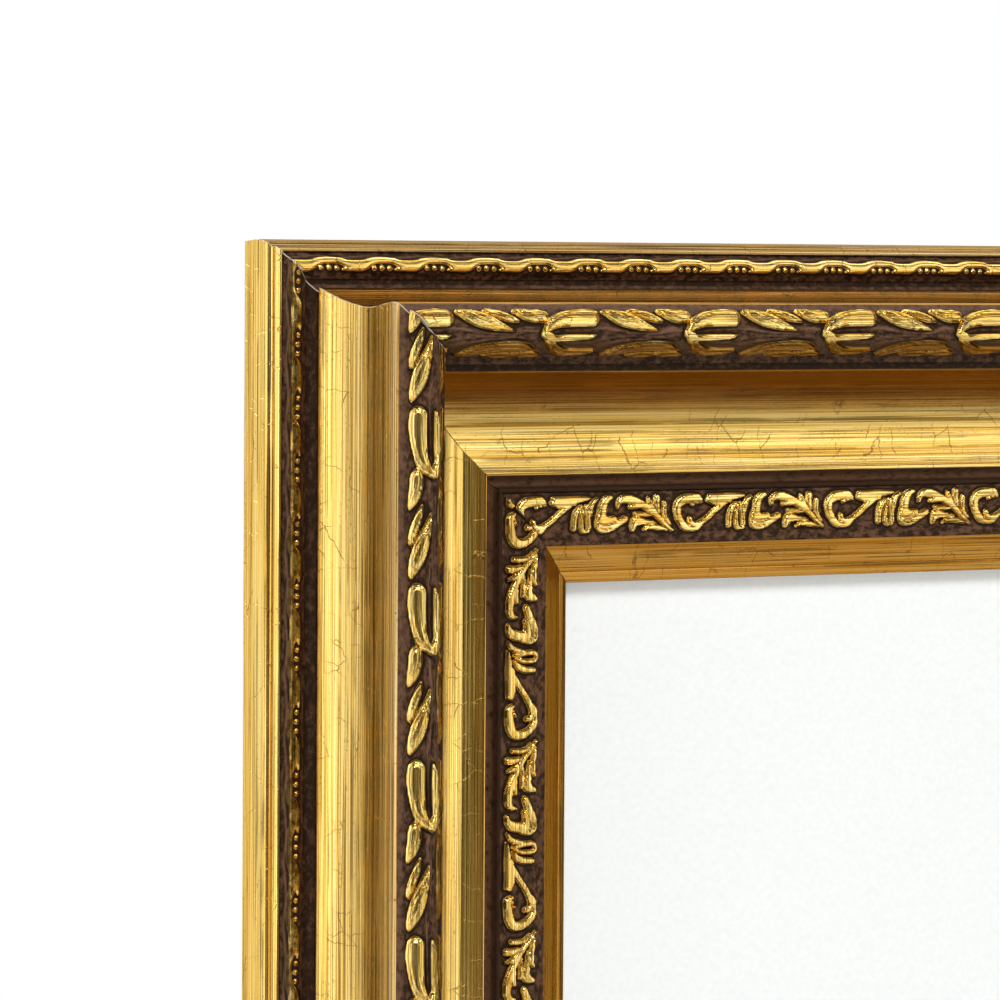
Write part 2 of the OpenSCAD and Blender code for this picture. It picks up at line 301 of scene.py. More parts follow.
CREST_FOOT = (13.0, 11.9)
CREST_FOOT_FRONT = (30.0, 31.0, 35.3, 35.9)
CHALK_END = (24.0, 22.5)  # inside it the rubbed mitre shows umber, not gesso
MITRE_RUB = (0.22, 0.09)  # mm from the mitre
WOOD_RUB = (0.30, 0.12)
RIDGES_PER_MM = 6.6  # in radians
RIDGE_HEIGHT = 1.2
SIDE_SHIFT = 900.0  # added to the places along each next side, so that its streaks differ


def leaf_colour(f, place):
    """Gold leaf drawn out in long streaks: its colour, its dark hairlines and its shine."""
    wide = f.noise(place, (0.004, 0.55, 0.55), 2.0)
    lines = f.noise(place, (0.010, 2.6, 2.6), 3.0, 0.6)
    hairs = f.noise(place, (0.022, 7.0, 7.0), 2.0)
    shine = f.ease(wide * 0.2 + lines * 0.45 + hairs * 0.35, 0.40, 0.60)
    gold = f.add("ShaderNodeValToRGB", {"stops": [
        (0.0, LEAF_DEEP), (0.4, LEAF_MID), (1.0, LEAF_LIGHT)]}, [shine])
    level = f.noise(place, (0.005, 1.15, 1.15), 2.0, 0.6)
    off = (level - 0.5).size()
    worn = f.ease(f.noise(place, (0.06, 0.3, 0.3), 3.0), 0.34, 0.52)
    pits = f.ease(f.noise(place, (1.5, 2.2, 2.2), 2.0), 0.60, 0.68)
    hairline = f.ease(off, 0.045, 0.012) | f.ease(off, 0.09, 0.03) * pits
    return gold, hairline * worn, shine


def cracks(f, place):
    """Fine cracks of the gesso that run across the rail, open only here and there."""
    drift = f.add("ShaderNodeTexNoise", {}, {"Vector": f.stretch(place, (0.5, 0.5, 0.5)),
                                             "Scale": 1.0, "Detail": 2.0}, output="Color")
    shift = f.stretch(drift, (0.30, 0.12, 0.12))
    path = f.add("ShaderNodeVectorMath", {"operation": "ADD"},
                 [f.stretch(place, (0.17, 0.07, 0.07)), shift])
    edge = f.add("ShaderNodeTexVoronoi", {"feature": "DISTANCE_TO_EDGE"},
                 {"Vector": path, "Scale": 1.0})
    open_here = f.ease(f.noise(place, (0.14, 0.20, 0.20), 3.0), 0.46, 0.58)
    return f.ease(edge, 0.010, 0.003) * open_here


class Spot:
    """Where a spot lies on its side, and how the brown there is mottled and wavers."""

    def __init__(self, f, place):
        along, self.across, self.front = (f.part(place, axis) for axis in "XYZ")
        right = f.band(along, SIDE_SHIFT * 0.98, SIDE_SHIFT, SIDE_SHIFT * 1.98, SIDE_SHIFT * 2)
        left = f.ease(along, SIDE_SHIFT * 2.98, SIDE_SHIFT * 3)
        self.upright = right | left  # 1 on the right and left rails, 0 on the level ones
        self.mottle = f.noise(place, (0.65, 1.0, 1.0), 4.0, 0.68)
        self.waver = (f.noise(place, (0.12, 0.6, 0.6), 3.0) - 0.5) * 0.5


def rail_layers(f, spot, gold):
    """The leaf of a plain rail under its glaze tints, most of them painted shade; where there is
    none, which also covers a painted shadow shown as dark ground; and the ground there.
    """
    edge = spot.across + spot.waver * 0.5
    groove = f.band(edge, *GROOVE)
    slope = f.ease(edge, *SLOPE) * f.ease(spot.front, *SLOPE_FRONT)
    slope = slope * f.ease(spot.across, *SLOPE_END)
    # Painted shadow: the strip between crest and cove shows dark ground
    fillet_shadow = f.band(spot.across, *FILLET) * f.ease(spot.front, *FILLET_FRONT)
    rubbed = f.ease(spot.across, *SLOPE_RUBBED) * slope * (1 - spot.upright * 0.85)
    ground = f.blend(f.ease(spot.mottle, 0.46, 0.70) * 0.6, UMBER, UMBER_RED)
    ground = f.blend(rubbed * f.ease(spot.mottle, 0.25, 0.75), ground, RUB_AND_HIGHLIGHT_BROWN)
    ground = f.blend(groove * f.ease(spot.mottle, 0.25, 0.55), ground, OPEN_BROWN)
    ground = f.blend(f.ease(edge, *GROOVE_DEEP) * groove * 0.85, ground, UMBER)
    outer = f.ease(spot.across, *OUTER_HALF)
    scotia = f.band(spot.front, *SCOTIA_FRONT) * outer
    level = 1 - spot.upright
    # Glaze tints over the leaf, most of them painted shade: upright and level rails get different
    # ones, as light falls differently on them
    glazes_and_shade = [
        (spot.upright * f.band(spot.across, *GROOVE_RIM) * 0.8, RIM_SHADE_GLAZE),
        (f.ease(spot.across, *LIP) | scotia * (0.5 - spot.upright * 0.25), TONED_AND_SHADED),
        (f.ease(spot.across, *COVE) * f.ease(spot.front, *COVE_FRONT), COVE_SHADE_GLAZE),
        (level * f.ease(spot.across, *OUTER_STEP), STEP_SHADE_GLAZE),
        (level * f.band(spot.across, *HOLLOW), HOLLOW_SHADE_GLAZE),
        (spot.upright * f.ease(spot.front, *BULB_FRONT) * outer, BULB_SHADE_GLAZE),
    ]
    for share, tint in glazes_and_shade:
        gold = f.glaze(share, gold, tint)
    return gold, groove | slope | fillet_shadow, ground


def carved_layers(f, spot, gold, brown):
    """The same for a carved strip, whose leaf lies on its high parts; brown is how strongly
    the ground's raised lines take their painted highlight."""
    inside, ridge = f.kept("gilt"), f.kept("ridge")
    bare_and_shaded = f.ease(inside + spot.waver * 0.4, 0.03, -0.09)
    open_ground = f.ease(inside + spot.waver, -0.30, -0.75)
    ground = f.blend(open_ground * f.ease(spot.mottle, 0.38, 0.64), UMBER, OPEN_BROWN)
    # Painted highlight on the ground's raised lines
    ground = f.blend(ridge * brown, ground, RUB_AND_HIGHLIGHT_BROWN)
    # Painted shade on the ribbon of the upright rails: a darker leaf, and dark ground on its
    # outer part
    rope = spot.upright * f.ease(spot.across, *ROPE)
    bare_and_shaded = bare_and_shaded | rope * f.ease(spot.across + spot.waver, *ROPE_SHADE_EDGE) * 0.9
    gold = f.glaze(rope * (f.ease(spot.mottle, 0.58, 0.40) | ridge), gold, FLANK_SHADE_GLAZE)
    # Painted shade on the crest's inner flank
    flank = f.band(spot.across, *FLANK)
    gold = f.glaze(flank, gold, FLANK_SHADE_GLAZE)
    ground = f.blend(flank * f.ease(spot.front, *FLANK_FRONT) * 0.8, ground, FLANK_BROWN)
    # Painted sheen on the ground at the base of the crest, stronger on the level rails
    foot_sheen = f.ease(spot.across, *CREST_FOOT) * f.band(spot.front, *CREST_FOOT_FRONT)
    foot_sheen = foot_sheen * (0.8 - spot.upright * 0.3) * (f.ease(spot.mottle, 0.25, 0.60) * 0.6 + 0.4)
    return gold, bare_and_shaded, f.blend(foot_sheen, ground, FOOT_SHEEN_BROWN)


def leaf_ridges(f, spot):
    """Fine ridges along the outlines of the leaves: their height, and painted shade in each
    valley between them.
    """
    wave = (f.kept("gilt") * RIDGES_PER_MM).sine()
    height = wave * (f.band(spot.across, *FLANK) + 1) * RIDGE_HEIGHT
    return height, f.ease(wave, -0.3, -1.0) * 0.45


def gilding(name, carved, fine=False):
    """Toned gold leaf over a dark ground, with painted shade and highlights in its colour, on
    plain rails or on carved strips; fine adds ridges along the outlines of the carving's leaves,
    painted shade between them, and fibres to its ground."""
    f = Finish(name)
    place = f.place()
    spot = Spot(f, place)
    gold, scratch, shine = leaf_colour(f, place)
    crack = cracks(f, place)
    fleck = f.ease(f.noise(place, (1.1, 1.6, 1.6), 3.0, 0.65), 0.70, 0.76)
    if fine:
        brown = f.ease(f.noise(place, (0.16, 1.5, 1.5), 3.0, 0.6), 0.40, 0.56)
    else:
        brown = spot.mottle + 0.35
    if carved:
        gold, bare_and_shaded, ground = carved_layers(f, spot, gold, brown)
    else:
        gold, bare_and_shaded, ground = rail_layers(f, spot, gold)
    worn = f.blend(scratch * 0.6, gold, UMBER)
    worn = f.blend(crack * 0.6, worn, CLAY)
    worn = f.blend(fleck * 0.4, worn, CLAY)
    height = shine * 0.35 + crack * -0.6 + spot.mottle * bare_and_shaded * 2.0
    if fine:
        ridges, valley_shade = leaf_ridges(f, spot)
        height = height + ridges
        worn = f.blend(valley_shade, worn, UMBER_RED)
    chipped = f.ease(f.noise(place, (0.3, 0.45, 0.45), 3.0), 0.36, 0.62) * 0.65 + 0.25
    joint = f.ease(f.to_mitre(), *MITRE_RUB) * chipped
    # Dark ground where the leaf is missing, and where shade is painted as dark ground
    colour = f.blend(bare_and_shaded, worn, ground)
    colour = f.blend(joint, colour, f.blend(f.ease(spot.across, *CHALK_END), UMBER, CHALK))
    return f.close(
        Base_Color=colour, Metallic=(1 - (bare_and_shaded | joint)) * 0.97,
        Roughness=0.25 + shine * -0.04 + bare_and_shaded * 0.27, Specular_IOR_Level=0.14,
        Specular_Tint=EDGE_TINT, Normal=f.bump(height, 0.00004))


def bare_wood(name):
    """Planed softwood of the back and the rabbet, with its grain along the rail."""
    f = Finish(name)
    place = f.place()
    grain = f.noise(place, (0.012, 0.9, 0.9), 4.0, 0.6, 0.4)
    pores = f.noise(place, (0.10, 6.0, 6.0), 3.0, 0.6)
    colour = f.blend(f.ease(grain, 0.35, 0.65), (0.62, 0.42, 0.23), (0.78, 0.60, 0.38))
    colour = f.blend(f.ease(pores, 0.62, 0.72) * 0.5, colour, (0.36, 0.20, 0.09))
    joint = f.ease(f.to_mitre(), *WOOD_RUB)
    colour = f.blend(joint * 0.8, colour, (0.16, 0.085, 0.035))
    return f.close(Base_Color=colour, Roughness=0.7 + pores * 0.1,
                   Normal=f.bump(pores + grain + joint * -2, 0.00008))


def zinc_steel(name, tone, gloss=0.34):
    """Plated steel with a faint spangle and fine rolling lines."""
    f = Finish(name)
    spot = f.position()
    spangle = f.noise(spot, (420, 420, 420), 2.0)
    lines = f.noise(spot, (300, 300, 4000), 2.0)
    colour = f.blend(f.ease(spangle, 0.35, 0.65), tone, tuple(min(1, c * 1.18) for c in tone))
    return f.close(Base_Color=colour, Metallic=0.9,
                   Roughness=gloss + spangle * 0.12, Normal=f.bump(lines, 0.00002))


def white_card(name):
    """Blank matt card of the insert."""
    f = Finish(name)
    spot = f.position()
    fibres = f.noise(spot, (900, 900, 900), 3.0)
    colour = f.blend(f.ease(fibres, 0.3, 0.7), (0.90, 0.90, 0.895), (0.94, 0.94, 0.935))
    return f.close(Base_Color=colour, Roughness=0.85 + fibres * 0.1,
                   Normal=f.bump(fibres, 0.00003))


def grey_board(name):
    """Pulp board with dark bits, for the filler."""
    f = Finish(name)
    spot = f.position()
    pulp = f.noise(spot, (700, 700, 700), 4.0, 0.65)
    bits = f.noise(spot, (2600, 2600, 900), 2.0)
    colour = f.blend(f.ease(pulp, 0.3, 0.7), (0.23, 0.215, 0.19), (0.36, 0.34, 0.30))
    colour = f.blend(f.ease(bits, 0.66, 0.72) * 0.5, colour, (0.10, 0.09, 0.08))
    return f.close(Base_Color=colour, Roughness=0.9 + pulp * 0.05,
                   Normal=f.bump(pulp, 0.00008))


def hardboard(name):
    """Brown pressed fibre board with darker fibres lying every way."""
    f = Finish(name)
    spot = f.position()
    cloud = f.noise(spot, (28, 28, 28), 3.0)
    fibres = f.noise(spot, (1500, 1500, 420), 3.0, 0.6, 0.6)
    cross = f.noise(spot, (420, 1500, 1500), 3.0, 0.6, 0.6)
    web = f.ease(fibres | cross, 0.50, 0.72)
    colour = f.blend(f.ease(cloud, 0.3, 0.7), (0.20, 0.105, 0.048), (0.27, 0.150, 0.072))
    colour = f.blend(web * 0.55, colour, (0.39, 0.245, 0.13))
    return f.close(Base_Color=colour, Roughness=0.62 + web * 0.15,
                   Normal=f.bump(web, 0.00008))


def felt(name):
    """Dark grey felt with a fluffy surface."""
    f = Finish(name)
    spot = f.position()
    fluff = f.noise(spot, (2200, 2200, 2200), 4.0, 0.7, 1.0)
    colour = f.blend(f.ease(fluff, 0.3, 0.7), (0.055, 0.055, 0.058), (0.16, 0.16, 0.165))
    return f.close(Base_Color=colour, Roughness=0.95 + fluff * 0.04,
                   Normal=f.bump(fluff, 0.0003))


def clear_glass(name):
    """Float glass that lets the lamps through to the sheet behind it."""
    f = Finish(name)
    smear = f.noise(f.position(), (18, 18, 18), 2.0)
    glass = f.add("ShaderNodeBsdfPrincipled", {}, {
        "Base Color": (0.985, 0.995, 0.99, 1), "Roughness": smear * 0.02,
        "IOR": 1.5, "Transmission Weight": 1.0})
    clear = f.add("ShaderNodeBsdfTransparent", {}, {"Color": (0.97, 0.98, 0.975, 1)})
    shadow = f.add("ShaderNodeLightPath", output="Is Shadow Ray")
    spread = f.add("ShaderNodeLightPath", output="Is Diffuse Ray")
    f.add("ShaderNodeOutputMaterial", {}, [
        f.add("ShaderNodeMixShader", {}, [shadow | spread, glass, clear])])
    return f.owner


# Rails

WELD = 0.000002  # m
FLAT_ANGLE = math.radians(0.4)
SHARP_ANGLE = math.radians(28)
SMOOTH_ANGLE = math.radians(32)
RAIL_ROUND = 0.00011  # m
RABBET_WALL = 56.0  # mm across, inside which a rail's low faces are its rabbet
RABBET_FRONT = 10.5  # mm out to the front
BACK_FRONT = 0.2  # and the back's faces lie below this


def copy_of(node, name):
    """A new piece with its own welded copy of a node's mesh."""
    piece = bpy.data.objects.new(name, nodes[node].data.copy())
    piece.data.materials.clear()
    bpy.context.collection.objects.link(piece)
    bpy.context.view_layer.objects.active = piece
    piece.select_set(True)
    bpy.ops.object.mode_set(mode="EDIT")
    bpy.ops.mesh.select_all(action="SELECT")
    bpy.ops.mesh.remove_doubles(threshold=WELD)
    bpy.ops.mesh.dissolve_limited(angle_limit=FLAT_ANGLE)
    bpy.ops.object.mode_set(mode="OBJECT")
    return piece


def soften_edges(piece):
    """A small round on every sharp edge, with the flats kept flat in the shading."""
    bevel = piece.modifiers.new("edge", "BEVEL")
    bevel.width = RAIL_ROUND
    bevel.segments = 2
    bevel.limit_method = "ANGLE"
    bevel.angle_limit = SHARP_ANGLE
    bpy.ops.object.modifier_apply(modifier=bevel.name)
    bpy.ops.object.shade_smooth_by_angle(angle=SMOOTH_ANGLE)
    flats = piece.modifiers.new("flats", "WEIGHTED_NORMAL")
    flats.keep_sharp = True
    bpy.ops.object.modifier_apply(modifier=flats.name)


def vertex_points(mesh):
    """The vertices' places as an array, in metres."""
    points = np.empty(len(mesh.vertices) * 3)
    mesh.vertices.foreach_get("co", points)
    return points.reshape(-1, 3)


def mark(mesh, name, values):
    """Keeps a number or a vector on every vertex, for the material to read."""
    kind, field = ("FLOAT_VECTOR", "vector") if values.ndim == 2 else ("FLOAT", "value")
    layer = mesh.attributes.new(name, kind, "POINT")
    layer.data.foreach_set(field, np.ascontiguousarray(values, dtype=np.float32).ravel())


def to_mitres(side, along, across):
    """Millimetres, along the side, from its first and from its last mitre."""
    return np.stack([along - across, side_length(side) - along - across, 0 * along], -1)


def mark_side(mesh, side, place):
    """Keeps the place of every vertex on its side, and its distances to the mitres."""
    shift = SIDE_SHIFT * list(SIDES).index(side)
    mark(mesh, "place", place + np.array([shift, 0, 0]))
    mark(mesh, "ends", to_mitres(side, place[:, 0], place[:, 1]))


def gild_rail(side, gold, wood):
    """A rail with rounded edges: gilded outside, plain wood at its back and in its rabbet."""
    piece = copy_of("rail_" + side, "gilded_rail_" + side)
    soften_edges(piece)
    mesh = piece.data
    place = to_place(side, vertex_points(mesh))
    mark_side(mesh, side, place)
    mesh.materials.append(gold)
    mesh.materials.append(wood)
    for face in mesh.polygons:
        spot = place[list(face.vertices)].mean(0)
        back = face.normal.y > 0.5 and spot[2] < BACK_FRONT
        rabbet = spot[1] > RABBET_WALL and spot[2] < RABBET_FRONT
        face.material_index = 1 if back or rabbet else 0
    piece.select_set(False)
    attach(piece, "frame")
    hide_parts("rail_" + side)


# Carving tables: a shape is a list of (along, across, half width) given along its middle.

TABLE_STEP = 0.1  # mm
TABLE_REACH = 0.9  # mm outside a shape, beyond which its table says no more


def smooth_line(points, steps=5):
    """A Catmull-Rom curve through given points."""
    points = np.array(points, float)
    if len(points) < 3:
        return points
    padded = np.vstack([2 * points[0] - points[1], points, 2 * points[-1] - points[-2]])
    t = np.linspace(0, 1, steps, endpoint=False)[:, None]
    runs = []
    for a, b, c, d in zip(padded, padded[1:], padded[2:], padded[3:]):
        runs.append(b + 0.5 * t * (c - a + t * (2 * a - 5 * b + 4 * c - d
                                                + t * (3 * (b - c) + d - a))))
    return np.vstack(runs + [points[-1:]])


class Motif:
    """One repeat of a carved pattern: how far each spot lies inside its shapes, in mm."""

    def __init__(self, repeat, across):
        self.repeat, self.first = repeat, across[0]
        self.cells = (round(repeat / TABLE_STEP), round((across[1] - across[0]) / TABLE_STEP))
        self.along = (np.arange(self.cells[0]) + 0.5) * repeat / self.cells[0]
        self.across = across[0] + (np.arange(self.cells[1]) + 0.5) * TABLE_STEP

    def draw(self, shapes):
        """The greatest of (half width - distance to the middle line) over all the shapes."""
        table = np.full(self.cells, -TABLE_REACH)
        for points in shapes:
            line = smooth_line(points)
            ends = line[1:] if len(line) > 1 else line
            for shift in (-self.repeat, 0, self.repeat):
                for a, b in zip(line, ends):
                    self.draw_stretch(table, a + (shift, 0, 0), b + (shift, 0, 0))
        return table

    def draw_stretch(self, table, a, b):
        """Adds one straight stretch between two points of a middle line."""
        size = max(a[2], b[2]) + TABLE_REACH
        rows = np.flatnonzero((self.along > min(a[0], b[0]) - size)
                              & (self.along < max(a[0], b[0]) + size))
        cols = np.flatnonzero((self.across > min(a[1], b[1]) - size)
                              & (self.across < max(a[1], b[1]) + size))
        if not len(rows) or not len(cols):
            return
        x = self.along[rows][:, None] - a[0]
        y = self.across[cols][None, :] - a[1]
        dx, dy = b[0] - a[0], b[1] - a[1]
        t = np.clip((x * dx + y * dy) / max(dx * dx + dy * dy, 1e-9), 0, 1)
        inside = a[2] + t * (b[2] - a[2]) - np.hypot(x - t * dx, y - t * dy)
        spot = np.ix_(rows, cols)
        table[spot] = np.maximum(table[spot], inside)

    def look_up(self, table, along, across):
        """Reads a table between its cells; it repeats along and ends across."""
        x = along / self.repeat * self.cells[0] - 0.5
        y = np.clip((across - self.first) / TABLE_STEP - 0.5, 0, self.cells[1] - 1.001)
        x0, y0 = np.floor(x).astype(int), np.floor(y).astype(int)
        fx, fy = x - x0, y - y0
        x0, x1 = x0 % self.cells[0], (x0 + 1) % self.cells[0]
        near = table[x0, y0] * (1 - fx) + table[x1, y0] * fx
        far = table[x0, y0 + 1] * (1 - fx) + table[x1, y0 + 1] * fx
        return near * (1 - fy) + far * fy


def soft_step(value, low, high):
    """0 below low, 1 above high, with a smooth step between."""
    t = np.clip((value - low) / (high - low), 0, 1)
    return t * t * (3 - 2 * t)


def dome(inside, slope, crown):
    """Height shares of a raised shape: a steep flank and a slightly rounded top."""
    flank = soft_step(inside, -slope * 0.45, slope * 0.55)
    return flank * (1 - crown + crown * soft_step(inside, 0, 1.1))


def ripple(inside):
    """One groove that follows the outline of a leaf, so that its rim and its middle stand up."""
    return soft_step(inside, 0.25, 0.6) * soft_step(-inside, -0.95, -0.6)


# Scroll strip: C scroll, S stem with a leaf arm and feathers, U crescent, acanthus leaf

SCROLL_REPEAT = 35.1
SCROLL_SHAPES = [
    [(5.9, 2.74, .35), (5.2, 2.0, .6), (3.5, 2.15, .75), (1.85, 2.4, .85), (0.67, 3.3, .8),
     (0.55, 4.75, .75), (1.0, 5.95, .65), (2.1, 7.25, .6), (3.5, 7.75, .4), (5.0, 7.6, .45),
     (5.9, 6.9, .42)],
    [(4.1, 3.25, .3)], [(5.0, 2.9, .3)],
    [(3.4, 5.95, .45), (3.5, 6.55, .42), (4.5, 7.0, .4), (5.9, 6.65, .45), (7.6, 5.7, .45),
     (9.0, 4.6, .45), (10.4, 3.6, .5), (11.6, 2.6, .6)],
    [(7.8, 1.9, .45), (9.5, 2.0, .55), (12.1, 2.0, .6), (14.5, 1.85, .4), (15.9, 1.7, .15)],
    [(7.4, 2.5, .3), (9.0, 2.85, .5), (10.7, 2.8, .5), (12.6, 2.6, .4)],
    [(17.6, 1.8, .15), (16.6, 2.6, .4), (16.1, 3.6, .45), (15.95, 5.1, .2)],
    [(15.1, 3.1, .2), (15.25, 4.3, .32), (15.55, 5.7, .4), (15.65, 7.1, .4)],
    [(14.6, 3.6, .2), (14.15, 4.8, .28), (14.0, 6.2, .33), (14.1, 7.4, .35)],
    [(14.3, 7.75, .3), (14.9, 7.95, .2), (15.5, 7.7, .33)],
    [(14.1, 3.1, .2), (13.05, 4.05, .5), (12.5, 5.5, .52), (12.4, 7.3, .42)],
    [(20.8, 1.65, .25), (19.7, 2.0, .6), (18.9, 3.1, .85), (18.65, 4.5, .85),
     (18.3, 6.65, 1.1), (19.5, 7.15, 1.0), (20.7, 6.9, .9)],
    [(17.6, 5.1, .2), (18.2, 5.6, .7)], [(19.4, 6.1, .95), (20.9, 6.1, .85)],
    [(21.3, 5.6, .5)], [(21.6, 6.7, .7), (22.7, 6.2, .62), (23.8, 5.7, .58)],
    [(20.6, 7.5, .3), (21.4, 7.6, .12)],
    [(34.5, 8.0, .15), (32.8, 6.8, .3), (30.9, 5.1, .45), (29.2, 3.9, .6), (27.3, 2.85, .6),
     (25.2, 2.15, .72), (23.3, 2.05, .66), (22.35, 2.6, .45), (22.2, 3.5, .25)],
    [(27.3, 3.1, .6), (26.0, 3.3, .5), (24.95, 3.5, .35)],
    [(31.9, 5.7, .2), (30.3, 4.3, .36), (29.4, 2.85, .34), (29.0, 1.9, .2)],
    [(31.4, 4.5, .25), (30.95, 3.1, .55), (30.95, 1.9, .6)],
    [(34.0, 6.9, .15), (32.9, 5.7, .34), (32.65, 4.3, .42), (32.75, 2.9, .38)],
    [(29.5, 5.1, .2), (27.8, 4.95, .35), (26.1, 4.8, .3)],
    [(30.7, 6.5, .15), (28.3, 6.3, .42), (26.3, 6.15, .82), (25.7, 6.9, .62), (25.5, 7.6, .4)],
    [(33.3, 7.85, .15), (31.1, 7.4, .4), (29.2, 7.3, .35), (28.0, 7.8, .15)],
]
SCROLL_CUTS = [
    [(17.7, 6.2, .05), (18.8, 6.7, .1), (20.4, 6.5, .1), (21.3, 6.2, .05)],
    [(18.0, 7.2, .05), (19.0, 7.5, .1), (20.3, 7.35, .08)],
]

# Laurel crest: a pointed bud of three petals, then three leaves and their inner neighbours

CREST_REPEAT = 31.2
CREST_BUD = [
    [(0.15, 7.8, .25), (0.9, 6.95, .65), (2.0, 6.0, 1.0), (3.5, 5.2, 1.3), (5.8, 4.75, 1.55),
     (8.7, 4.5, 1.75), (11.0, 4.55, 1.72)],
    [(0.2, 8.0, .35), (1.4, 8.5, .55), (3.0, 8.75, .58), (5.0, 8.6, .58), (8.0, 8.5, .55),
     (10.0, 8.4, .45), (11.8, 8.15, .15)],
    [(0.6, 7.9, .6), (1.5, 7.9, .6), (2.3, 8.1, .4)],
]
CREST_LEAVES = [
    [(13.9, 3.2, .4), (15.5, 3.9, 1.1), (17.3, 4.6, 1.45), (19.0, 5.2, 1.4), (20.8, 5.85, 1.1),
     (22.8, 6.5, .68), (25.1, 7.1, .15)],
    [(19.6, 3.0, .3), (20.9, 3.5, .75), (22.4, 4.0, .85), (23.9, 4.6, .75), (25.3, 5.1, .5),
     (26.5, 5.45, .15)],
    [(26.1, 3.0, .45), (27.8, 3.8, 1.1), (29.6, 4.2, 1.3), (31.0, 4.3, 1.3), (31.8, 4.35, 1.1)],
]
CREST_INNER = [
    [(1.3, 8.9, .5), (2.5, 9.9, .9), (4.0, 11.3, 1.2), (6.0, 12.3, 1.3), (8.5, 12.6, 1.2),
     (10.8, 12.3, .9), (12.4, 11.8, .3)],
    [(15.3, 13.6, .6), (17.3, 12.4, 1.3), (19.6, 11.5, 1.5), (22.6, 11.0, 1.4),
     (25.6, 10.8, 1.3), (28.3, 10.9, 1.0), (30.2, 11.3, .4)],
    [(20.8, 13.6, .5), (22.8, 13.5, 1.0), (25.0, 13.4, 1.05), (27.2, 13.5, .6)],
    [(27.0, 13.4, .5), (28.8, 13.2, 1.0), (30.8, 13.2, 1.1), (32.4, 13.6, .8)],
]
CREST_VEINS = [
    [(2.6, 6.1, .05), (5.0, 5.45, .1), (8.5, 5.2, .12), (12.4, 5.25, .08)],
    [(14.6, 3.5, .05), (17.0, 5.0, .12), (20.0, 5.95, .12), (23.0, 6.75, .05)],
    [(27.0, 3.7, .05), (29.5, 4.7, .12), (32.0, 4.9, .05)],
    [(20.6, 3.4, .05), (22.6, 4.2, .1), (24.8, 5.0, .05)],
    [(17.0, 12.9, .05), (20.0, 11.8, .14), (23.6, 11.3, .12), (27.6, 11.2, .05)],
    [(28.4, 13.7, .05), (30.6, 13.4, .12), (32.0, 13.6, .05)],
    [(3.6, 11.4, .05), (6.2, 12.4, .14), (10.0, 12.6, .05)],
    [(19.9, 3.6, .05), (20.5, 4.15, .14)], [(20.9, 3.9, .05), (21.3, 4.6, .14)],
    [(21.8, 4.3, .05), (22.1, 5.0, .14)], [(22.7, 4.8, .05), (23.0, 5.4, .12)],
    [(12.6, 13.6, .1), (14.0, 12.4, .3), (15.6, 11.6, .2)],
]
CREST_STALKS = [
    [(3.6, 7.15, .1), (6.0, 6.95, .25), (9.5, 6.9, .3), (13.0, 6.6, .5), (16.0, 7.0, .6),
     (19.5, 7.6, .4), (25.0, 7.7, .5), (28.0, 6.9, .9), (30.2, 7.0, .6)],
    [(9.0, 9.6, .1), (12.0, 9.2, .4), (16.0, 8.6, .35), (20.0, 8.4, .3), (26.0, 8.6, .3),
     (30.0, 8.9, .3)],
    [(12.0, 10.9, .1), (14.0, 10.3, .5), (18.0, 9.5, .4), (24.0, 9.1, .3)],
]

# Outer ribbon: a rope of gold that parts round groups of three beads

RIBBON_REPEAT = 11.28
RIBBON_SHAPES = [
    [(-6.6, 2.95, .86), (-5.2, 3.0, .9), (-4.2, 2.95, .88), (-3.4, 2.7, .8), (-2.5, 2.3, .66),
     (-1.5, 2.08, .56), (0.0, 2.02, .52), (1.5, 2.06, .5), (2.6, 2.22, .54), (3.6, 2.6, .62),
     (4.7, 2.95, .86)],
    [(4.6, 3.3, .55), (3.6, 3.5, .32), (2.7, 3.6, .14)],
]
RIBBON_BEADS = [[(-1.65, 3.3, .4)], [(0.0, 3.28, .42)], [(1.65, 3.36, .4)]]


def profile(points, spacing):
    """Evenly spaced points along a curve through (across, front) points, with their arc
    position and the direction that faces out of the strip."""
    line = smooth_line(points, 12)
    arc = np.r_[0, np.cumsum(np.hypot(*np.diff(line, axis=0).T))]
    count = max(2, math.ceil(arc[-1] / spacing) + 1)
    at = np.linspace(0, arc[-1], count)
    spots = np.stack([np.interp(at, arc, line[:, 0]), np.interp(at, arc, line[:, 1])], -1)
    run = np.gradient(spots, axis=0)
    run /= np.hypot(run[:, 0], run[:, 1])[:, None]
    return spots, at, np.stack([-run[:, 1], run[:, 0]], -1)


MITRE_ROUND = 0.35  # mm over which a strip's relief sinks towards its mitre
MITRE_SINK = 0.10
STRIP_WELD = 0.000001  # m
STRIP_SMOOTH = math.radians(60)


START_ROUNDS = 4  # the relief moves a spot across, and with it the mitre that it ends at


